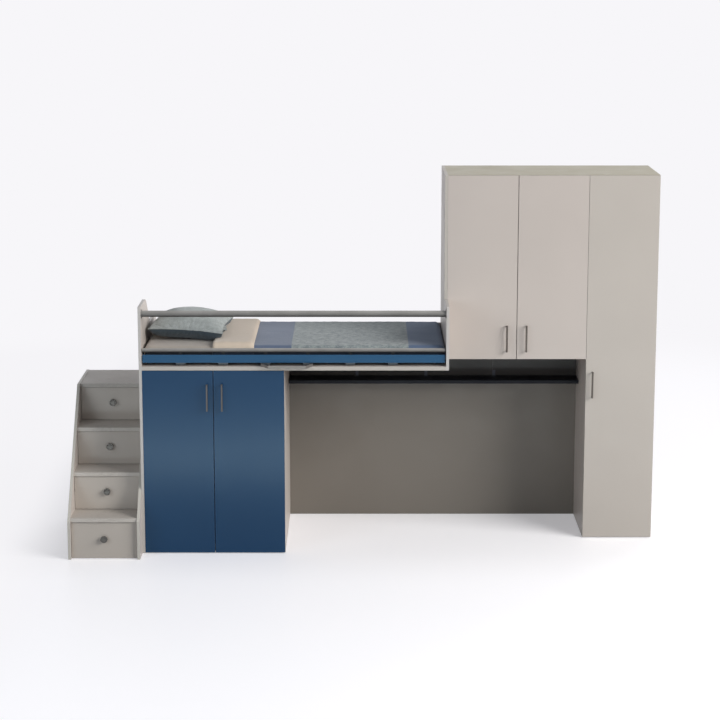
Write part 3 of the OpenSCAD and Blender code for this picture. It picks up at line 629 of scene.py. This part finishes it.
sheet_gap, sheet_thick, turned_down, sheet_cut_at = 0.0016, 0.0012, 0.078, -0.622
cloth_step, gathered_within, ripple_height = 0.008, 0.09, 0.0006
sheet_l = core_x + turned_down + (sheet_cut_at - mattress_middle.x)
sheet_w = 2 * (core_y + turned_down)
form = flat_cloth(sheet_l, sheet_w, cloth_step)
for vert in form.verts:
    along, across = vert.co.x - core_x - turned_down, vert.co.y
    ripple = noise.noise((along * 8, across * 13, 1.0))
    ripple += 0.5 * noise.noise((along * 21, across * 34, 4.0))
    near_edge = (abs(across) - core_y + gathered_within) / gathered_within
    near_edge = max(0.0, min(1.0, near_edge))
    gathers = 1 + math.sin(along * 105 + 2 * noise.noise((along * 9, 0, 0)))
    vert.co = over_mattress(
        along, across, sheet_gap + 0.0005, ripple_height + ripple_height * ripple,
        ripple_height * near_edge * gathers,
    )
beige_cotton = cloth_finish(
    "beige_cotton", paint(184, 174, 164), paint(164, 155, 146), 0.0009, "UV"
)


def dark_edge_tape_painted_shade(finish, half_width, tape_colour_painted_shade):
    """A dark tape along a cloth's two long sides, found by the cloth's own UV map; it also paints
    the shade where the turned-down edges pass under the retainer tube.
    """
    shade_tape_width, blur = 0.026, 0.001
    tree, shader, base = colour_so_far(finish)
    across = arithmetic(tree, "ABSOLUTE", coordinate(tree, "UV", 1))
    shade_tape_edge = half_width - shade_tape_width
    on_tape_painted_shade = span(tree, across, shade_tape_edge - blur, shade_tape_edge)
    tree.links.new(mixed(tree, on_tape_painted_shade, base, tape_colour_painted_shade), shader.inputs["Base Color"])


# The sheet's dark edge tape is also painted shade under the retainer tube.
dark_edge_tape_painted_shade(beige_cotton, sheet_w / 2, paint(60, 61, 66))
sheet = finished_piece("fitted_sheet", form, beige_cotton, "beige_sheet", "bed_base", "sheet")
thickness = sheet.modifiers.new("cloth", "SOLIDIFY")
thickness.thickness = sheet_thick
thickness.offset = 0

# The coverlet is a light quilt, blue grey with a mottled woven band across it. It is tucked in at
# the foot and along both sides, where its edges are bound with dark tape that also paints the shade
# under the retainer tube. At the head it is turned back over itself, which shows its beige lining;
# the fold lies nearer the foot on the wall side.
cover_gap, cover_thick, cover_end = 0.0064, 0.0046, core_x + turned_down
fold_front, fold_rear, hem_at = (at_x - mattress_middle.x for at_x in (-0.947, -0.908, -0.699))
fold_rise, fold_bow, turned_beside = 0.018, 0.010, 0.0058
hem_drop, hem_run, flap_rise, flap_run = 0.011, 0.022, 0.0025, 0.05
turn_l = math.pi * fold_rise / 2
laid_l = cover_end - fold_front
back_l = hem_at - fold_front
cover_l, cover_w = laid_l + turn_l + back_l, 2 * (core_y + turned_down)
form = flat_cloth(cover_l, cover_w, cloth_step)


def eased(value, low, high):
    """0 below low, 1 above high, with a smooth step between them."""
    share = max(0.0, min(1.0, (value - low) / (high - low)))
    return share * share * (3 - 2 * share)


for vert in form.verts:
    run, across = vert.co.x, vert.co.y
    fold_at = fold_front + (fold_rear - fold_front) * eased(across, -0.15, -0.05)
    fold_at += 0.004 * noise.noise((across * 6, 3.0, 0.0))
    wave = 0.6 * noise.noise((run * 6, across * 9, 2.0))
    wave += 0.4 * noise.noise((run * 17, across * 23, 7.0))
    pleat = 0.0004 * eased(abs(across), core_y - 0.07, core_y) * math.sin(
        run * 88 + 3 * noise.noise((run * 7, 0, 5.0))
    )
    lift, beside = 0.0016 * (1 + wave), 0.0006 + 0.0006 * wave
    if run < laid_l:
        along = cover_end - run + (fold_at - fold_front) * eased(run, laid_l - 0.33, laid_l)
    else:
        turned = min(1.0, (run - laid_l) / turn_l)
        back = max(0.0, run - laid_l - turn_l)
        to_hem = back_l - back
        bow = fold_bow * math.sin(math.pi * turned)
        along = fold_at - bow + back * (hem_at - fold_at) / back_l
        lift += fold_rise * (1 - math.cos(math.pi * turned)) / 2
        lift -= hem_drop * (1 - eased(to_hem, 0.0, hem_run)) * (turned == 1.0)
        lift += flap_rise * eased(back, 0.0, flap_run) * eased(to_hem, 0.0, flap_run)
        beside += turned_beside * turned
    vert.co = over_mattress(along, across, cover_gap, lift + pleat, beside + pleat)

band_from, band_to, blur = 0.268, 1.012, 0.006
quilt = cloth_finish(
    "woven_blue_grey_quilt", paint(108, 121, 145), paint(88, 101, 124), 0.0012, "UV"
)
tree, shader, plain = colour_so_far(quilt)
cut = coordinate(tree, "UV")
along_cut = coordinate(tree, "UV", 0)
foot_tone = shaded(tree, plain, paint(240, 249, 255))
tone = mixed(tree, span(tree, along_cut, band_from + blur, band_from), plain, foot_tone)
mottle = span(tree, grain(tree, cut, 26.0, 6.0, 0.7), 0.38, 0.64)
flecks = span(tree, grain(tree, cut, 90.0, 4.0, 0.7), 0.55, 0.66, 0.0, 0.5)
band_tone = mixed(tree, mottle, paint(116, 126, 129), paint(160, 167, 167))
band_tone = mixed(tree, flecks, band_tone, paint(196, 199, 196))
in_band = arithmetic(
    tree, "MULTIPLY", span(tree, along_cut, band_from, band_from + blur),
    span(tree, along_cut, band_to, band_to - blur),
)
tone = mixed(tree, in_band, tone, band_tone)
lining = mixed(tree, grain(tree, cut, 300.0, 3.0), paint(208, 191, 173), paint(220, 205, 187))
on_lining = span(tree, along_cut, laid_l + 0.010, laid_l + 0.014)
tree.links.new(mixed(tree, on_lining, tone, lining), shader.inputs["Base Color"])
# The coverlet's dark edge tape is also painted shade under the retainer tube.
dark_edge_tape_painted_shade(quilt, cover_w / 2, paint(52, 58, 70))
coverlet = finished_piece(
    "turned_down_coverlet", form, quilt, "grey_blue_coverlet", "bed_base", "coverlet"
)
thickness = coverlet.modifiers.new("quilt", "SOLIDIFY")
thickness.thickness = cover_thick
thickness.offset = 0

# Two feather pillows lie at the head, one leaning on the other. Each case is sewn from two panels
# and piped at the seam, is drawn in between its corners, and is flattened where it rests.
pillow_low, pillow_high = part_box("pillows")
sheet_top = mattress_high.z + sheet_gap + 0.0024
case_steps, voxel, piping_thick = 44, 0.006, 0.004


def pillow_case(size_x, size_y, thick, seam, leans_on, foot_lift, turned=0.0, tilt=0.0):
    """The stuffed shape on a grid of two panels, and its seam's path, round its lower middle.

    seam is the seam's height as a share of thick, and leans_on is how far the rear half is raised.
    """
    turn = Matrix.Rotation(turned, 3, "Z")

    def placed(a, b, side):
        """a runs from -1 to 1 along the case and b across it; side is 1 on top and -1 below."""
        draw_x, draw_y = 1 - 0.07 * (1 - b * b) * a * a, 1 - 0.06 * (1 - a * a) * b * b
        round_top = max(0.0, (1 - a * a) * (1 - b * b)) ** 0.55
        flat_under = max(0.0, (1 - a ** 8) * (1 - b ** 8)) ** 0.5
        rise = seam + (1 - seam) * round_top if side > 0 else seam * (1 - flat_under)
        lean = leans_on * max(0.0, min(1.0, (b + 0.9) / 0.55)) * (1 - 0.5 * a * a)
        lift = 0.012 * (1 - a * a) * (leans_on > 0) * seam * max(0.0, -b)
        lift += foot_lift * eased(a, 0.6, 1.0)
        lift += tilt * (0.5 - a)
        return turn @ Vector((
            a * draw_x * size_x / 2, b * draw_y * size_y / 2, thick * rise + lean + lift
        ))

    form = bmesh.new()
    bmesh.ops.create_grid(form, x_segments=case_steps, y_segments=case_steps, size=1)
    whole = form.verts[:] + form.edges[:] + form.faces[:]
    under = bmesh.ops.duplicate(form, geom=whole)["geom"]
    for vert in form.verts:
        vert.co.z = 1
    for part in under:
        if isinstance(part, bmesh.types.BMVert):
            part.co.z = -1
    for vert in form.verts:
        vert.co = placed(vert.co.x, vert.co.y, vert.co.z)
    bmesh.ops.remove_doubles(form, verts=form.verts, dist=0.0004)
    bmesh.ops.recalc_face_normals(form, faces=form.faces)
    along_side = [-1 + 2 * i / case_steps for i in range(case_steps)]
    half_round = [(a, -1) for a in along_side] + [(1, b) for b in along_side]
    seam_path = half_round + [(-a, -b) for a, b in half_round]
    return form, [placed(a, b, 1) for a, b in seam_path]


def swelled(form, seam_path, place, furthest):
    """Fill the case: cloth held at its seam, cut a little larger, under an inner pressure."""
    held_within, pressure, larger, last_step = 0.010, 4, -0.02, 20
    mesh = bpy.data.meshes.new("case")
    form.to_mesh(mesh)
    form.free()
    case = bpy.data.objects.new("case", mesh)
    bpy.context.collection.objects.link(case)

    def as_seen():
        return case.evaluated_get(bpy.context.evaluated_depsgraph_get())

    remesh = case.modifiers.new("even", "REMESH")
    remesh.mode = "VOXEL"
    remesh.voxel_size = voxel
    even_mesh = bpy.data.meshes.new_from_object(as_seen())
    case.modifiers.clear()
    case.data = even_mesh
    start = [v.co.copy() for v in even_mesh.vertices]
    held = case.vertex_groups.new(name="seam")
    held.add([
        i for i, co in enumerate(start)
        if min((co - p).length_squared for p in seam_path) < held_within ** 2
    ], 1.0, "REPLACE")
    cloth = case.modifiers.new("filling", "CLOTH")
    cloth.settings.use_pressure = True
    cloth.settings.uniform_pressure_force = pressure
    cloth.settings.shrink_min = larger
    cloth.settings.vertex_group_mass = "seam"
    cloth.settings.effector_weights.gravity = 0
    cloth.settings.quality = 6
    cloth.point_cache.frame_start, cloth.point_cache.frame_end = 1, last_step
    for step in range(1, last_step + 1):
        bpy.context.scene.frame_set(step)
    end = [v.co.copy() for v in as_seen().data.vertices]
    case.modifiers.clear()
    bpy.context.scene.frame_set(1)
    for vert, old, new in zip(even_mesh.vertices, start, end):
        moved = new - old
        if moved.length > furthest:
            moved *= furthest / moved.length
        vert.co = old + moved
    finer = case.modifiers.new("finer", "SUBSURF")
    finer.levels = finer.render_levels = 1
    full = bpy.data.meshes.new_from_object(as_seen())
    bpy.data.objects.remove(case)
    filled = bmesh.new()
    filled.from_mesh(full)
    bmesh.ops.translate(filled, verts=filled.verts, vec=place)
    return filled


def add_piping(form, seam_path, place):
    """Sew a round piping into the seam: a ring of points carried along the seam's path."""
    cord = bmesh.new()
    count, sides, radius = len(seam_path), 8, piping_thick / 2
    rings = []
    for i, point in enumerate(seam_path):
        ahead = (seam_path[(i + 1) % count] - seam_path[i - 1]).normalized()
        out = ahead.cross(Vector((0, 0, 1))).normalized()
        up = out.cross(ahead)
        made = bmesh.ops.create_circle(cord, segments=sides, radius=radius)["verts"]
        for k, vert in enumerate(made):
            turn = 2 * math.pi * k / sides
            around = out * math.cos(turn) + up * math.sin(turn)
            vert.co = point + Vector(place) + around * radius
        rings.append(list(dict.fromkeys(edge for vert in made for edge in vert.link_edges)))
    for i in range(count):
        bmesh.ops.bridge_loops(cord, edges=rings[i] + rings[(i + 1) % count])
    bmesh.ops.recalc_face_normals(cord, faces=cord.faces)
    sewn = bpy.data.meshes.new("piping")
    cord.to_mesh(sewn)
    cord.free()
    form.from_mesh(sewn)


def pillow_finish(name):
    """Pale mottled grey cotton on top; the lower panel is a dark blue grey."""
    finish = cloth_finish(name, paint(188, 194, 192), paint(160, 166, 165), 0.0011, "Object")
    tree, shader, top_tone = colour_so_far(finish)
    at = coordinate(tree, "Object")
    blotches = span(tree, grain(tree, at, 26.0, 5.0, 0.68), 0.40, 0.62, 0.84, 1.05)
    weave = span(tree, grain(tree, at, 420.0, 3.0), 0.35, 0.65)
    under_tone = mixed(tree, weave, paint(66, 77, 85), paint(84, 96, 104))
    below = add_node(tree, "ShaderNodeAttribute", attribute_name="underside").outputs["Fac"]
    tone = mixed(tree, below, shaded(tree, top_tone, blotches), under_tone)
    tree.links.new(tone, shader.inputs["Base Color"])
    return finish


def mark_underside(piece, seam_path, place):
    """Remember which faces belong to the case's lower panel, below the seam, for its colour."""
    beside_seam, nearly_level, under_seam = 0.05, 0.8, 0.001
    nearest = KDTree(len(seam_path))
    for i, point in enumerate(seam_path):
        nearest.insert(point + Vector(place), i)
    nearest.balance()
    mesh = piece.data
    mark = mesh.attributes.new("underside", "FLOAT", "FACE")
    below = []
    for face in mesh.polygons:
        seam_point, _, far = nearest.find(face.center)
        if far < beside_seam and abs(face.normal.z) < nearly_level:
            below.append(float(face.center.z < seam_point.z - under_seam))
        else:
            below.append(float(face.normal.z < 0))
    mark.data.foreach_set("value", below)


def surface_of(piece):
    """A piece's faces, to find by a ray what lies under a pillow."""
    faces = [list(face.vertices) for face in piece.data.polygons]
    return BVHTree.FromPolygons([vert.co for vert in piece.data.vertices], faces)


def laid_on(form, carriers, ground, ceiling):
    """Flatten the underside on what carries it, and the crown under ceiling."""
    ray_from, clear, most_pushed = 2.0, 0.0036, 0.05
    for vert in form.verts:
        rests_at = ground
        for below in carriers:
            start = Vector((vert.co.x, vert.co.y, ray_from))
            spot = below.ray_cast(start, Vector((0, 0, -1)))[0]
            if spot:
                rests_at = max(rests_at, spot.z + clear)
        raised = max(vert.co.z, min(rests_at, vert.co.z + most_pushed))
        vert.co.z = min(raised, ceiling)


case_cotton = pillow_finish("grey_pillow_cotton")
low_place = (pillow_low.x + 0.25, pillow_high.y - 0.235, sheet_top)
lies_on = [surface_of(coverlet)]
form, path = pillow_case(
    size_x=0.490, size_y=0.462, thick=0.056, seam=0.4, leans_on=0.0, foot_lift=0.008
)
form = swelled(form, path, low_place, furthest=0.014)
laid_on(form, lies_on, sheet_top, pillow_high.z)
add_piping(form, path, low_place)
low_pillow = finished_piece(
    "pillow_behind", form, case_cotton, "grey_pillowcase", "bed_base", "pillows"
)
mark_underside(low_pillow, path, low_place)

top_place = (low_place[0] + 0.020, low_place[1] - 0.230, sheet_top)
lies_on.append(surface_of(low_pillow))
form, path = pillow_case(
    size_x=0.480, size_y=0.518, thick=0.095, seam=0.66, leans_on=0.050, foot_lift=0.0,
    turned=-0.09, tilt=0.012,
)
form = swelled(form, path, top_place, furthest=0.016)
laid_on(form, lies_on, sheet_top, pillow_high.z + 0.004)
add_piping(form, path, top_place)
top_pillow = finished_piece(
    "pillow_in_front", form, case_cotton, "grey_pillowcase", "bed_base", "pillows"
)
mark_underside(top_pillow, path, top_place)

# The wardrobe's two doors are the same blue lacquer as the fascia, a shade deeper. Their upright
# bar handles are brushed steel on round posts.
along_z = (1.0, 1.0, 0.03)
blue_front = lacquer_finish("blue_lacquered_door", paint(28, 62, 96), paint(33, 68, 104))
give(blue_front, "wardrobe_door_left", "wardrobe_door_right")
wardrobe_bar = metal_finish("wardrobe_brushed_bar", paint(90, 87, 85), 0.45, along_z, metallic=0.7)
give(wardrobe_bar, "wardrobe_handle_left", "wardrobe_handle_right")

# The niche is closed by one large panel in a darker warm grey, with a nearly black shelf above it
# on small folded brackets, and two more panels up to the deck.
niche_finish = board_finish(
    "niche_panel_board", paint(131, 125, 117), paint(140, 133, 126), 1, roughness=0.5
)
give(niche_finish, "niche_back_panel")
upper_finish = board_finish(
    "upper_panel_board", paint(67, 65, 63), paint(38, 37, 36), 1, roughness=0.5
)
give(upper_finish, "niche_upper_panels")
shelf_finish = board_finish(
    "dark_shelf_board", paint(17, 19, 27), paint(25, 27, 34), 2, roughness=0.4, worn=0.1
)
shelf_finish.node_tree.nodes["Principled BSDF"].inputs["Specular IOR Level"].default_value = 0.1
give(shelf_finish, "niche_shelf")
bracket_finish = metal_finish(
    "grey_folded_steel", paint(92, 96, 106), 0.5, no_lines, metallic=0.3
)
give(bracket_finish, "shelf_brackets")

# The bridge cabinet and the column share one top board, a little yellower than their three doors.
# The column's long door is a shade greyer, and all three have the same slim bar handle.
# The doors' edges are a darker grey than their faces, which also paints the shade in the gaps
# between the doors.
door_lipping_painted_shade = paint(150, 143, 135)
cabinet_front = board_finish("cupboard_door_board", greige, door_lipping_painted_shade, 1, worn=0.2)
give(cabinet_front, "cabinet_door_left", "cabinet_door_right")
column_front = board_finish("column_door_board", paint(191, 184, 176), door_lipping_painted_shade, 1, worn=0.2)
give(column_front, "column_door")
cupboard_bar = metal_finish("cupboard_brushed_bar", paint(96, 89, 83), 0.5, along_z, metallic=0.5)
give(cupboard_bar, "cabinet_handle_left", "cabinet_handle_right", "column_handle")
top_finish = board_finish("top_board_facing", paint(178, 171, 148), paint(179, 170, 153), 2)
give(top_finish, "top_board")
give(pale_across_y, "back_boards")
give(pale_across_z, "inner_shelves")

# Every door is bored for its concealed hinges. A pressed zinc cup with a thin flange fills each
# bore, and the hinge's arm on the cupboard's side reaches into it.
cup_outline = [
    (0.0212, 0.0), (0.0210, 0.0003), (0.0176, 0.0003), (0.0166, -0.0002), (0.0163, -0.0010),
    (0.0163, -0.0104), (0.0172, -0.0104), (0.0172, -0.0002),
]
cup_sides, cup_in, hinge_in = 40, 0.022, 0.100


def add_cup(form, x, y, z):
    """A ring turned about the bore's axis, from its flange down the wall and back up outside."""
    first = bmesh.ops.create_circle(form, segments=cup_sides, radius=1.0)["verts"]
    turns = [math.atan2(vert.co.y, vert.co.x) for vert in first]
    loop = list(dict.fromkeys(edge for vert in first for edge in vert.link_edges))
    start, verts = loop, first
    for step, (radius, rise) in enumerate(cup_outline):
        if step:
            grown = bmesh.ops.extrude_edge_only(form, edges=loop)["geom"]
            loop = [part for part in grown if isinstance(part, bmesh.types.BMEdge)]
            verts = [part for part in grown if isinstance(part, bmesh.types.BMVert)]
            turns = [math.atan2(vert.co.z - z, vert.co.x - x) for vert in verts]
        for vert, turn in zip(verts, turns):
            vert.co = (x + radius * math.cos(turn), y + rise, z + radius * math.sin(turn))
    bmesh.ops.bridge_loops(form, edges=loop + start)


for door, body, hinge_side, count in (
    ("wardrobe_door_left", "wardrobe_leaf_left", -1, 3),
    ("wardrobe_door_right", "wardrobe_leaf_right", 1, 3),
    ("cabinet_door_left", "cabinet_leaf_left", -1, 3),
    ("cabinet_door_right", "cabinet_leaf_right", 1, 3),
    ("column_door", "column_leaf", 1, 5),
):
    low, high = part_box(door)
    across = low.x + cup_in if hinge_side < 0 else high.x - cup_in
    form = bmesh.new()
    for i in range(count):
        up = low.z + hinge_in + (high.z - low.z - 2 * hinge_in) * i / (count - 1)
        add_cup(form, across, high.y, up)
    bmesh.ops.recalc_face_normals(form, faces=form.faces)
    finished_piece(door + "_hinge_cups", form, zinc, "zinc_fittings", body)

low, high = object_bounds()
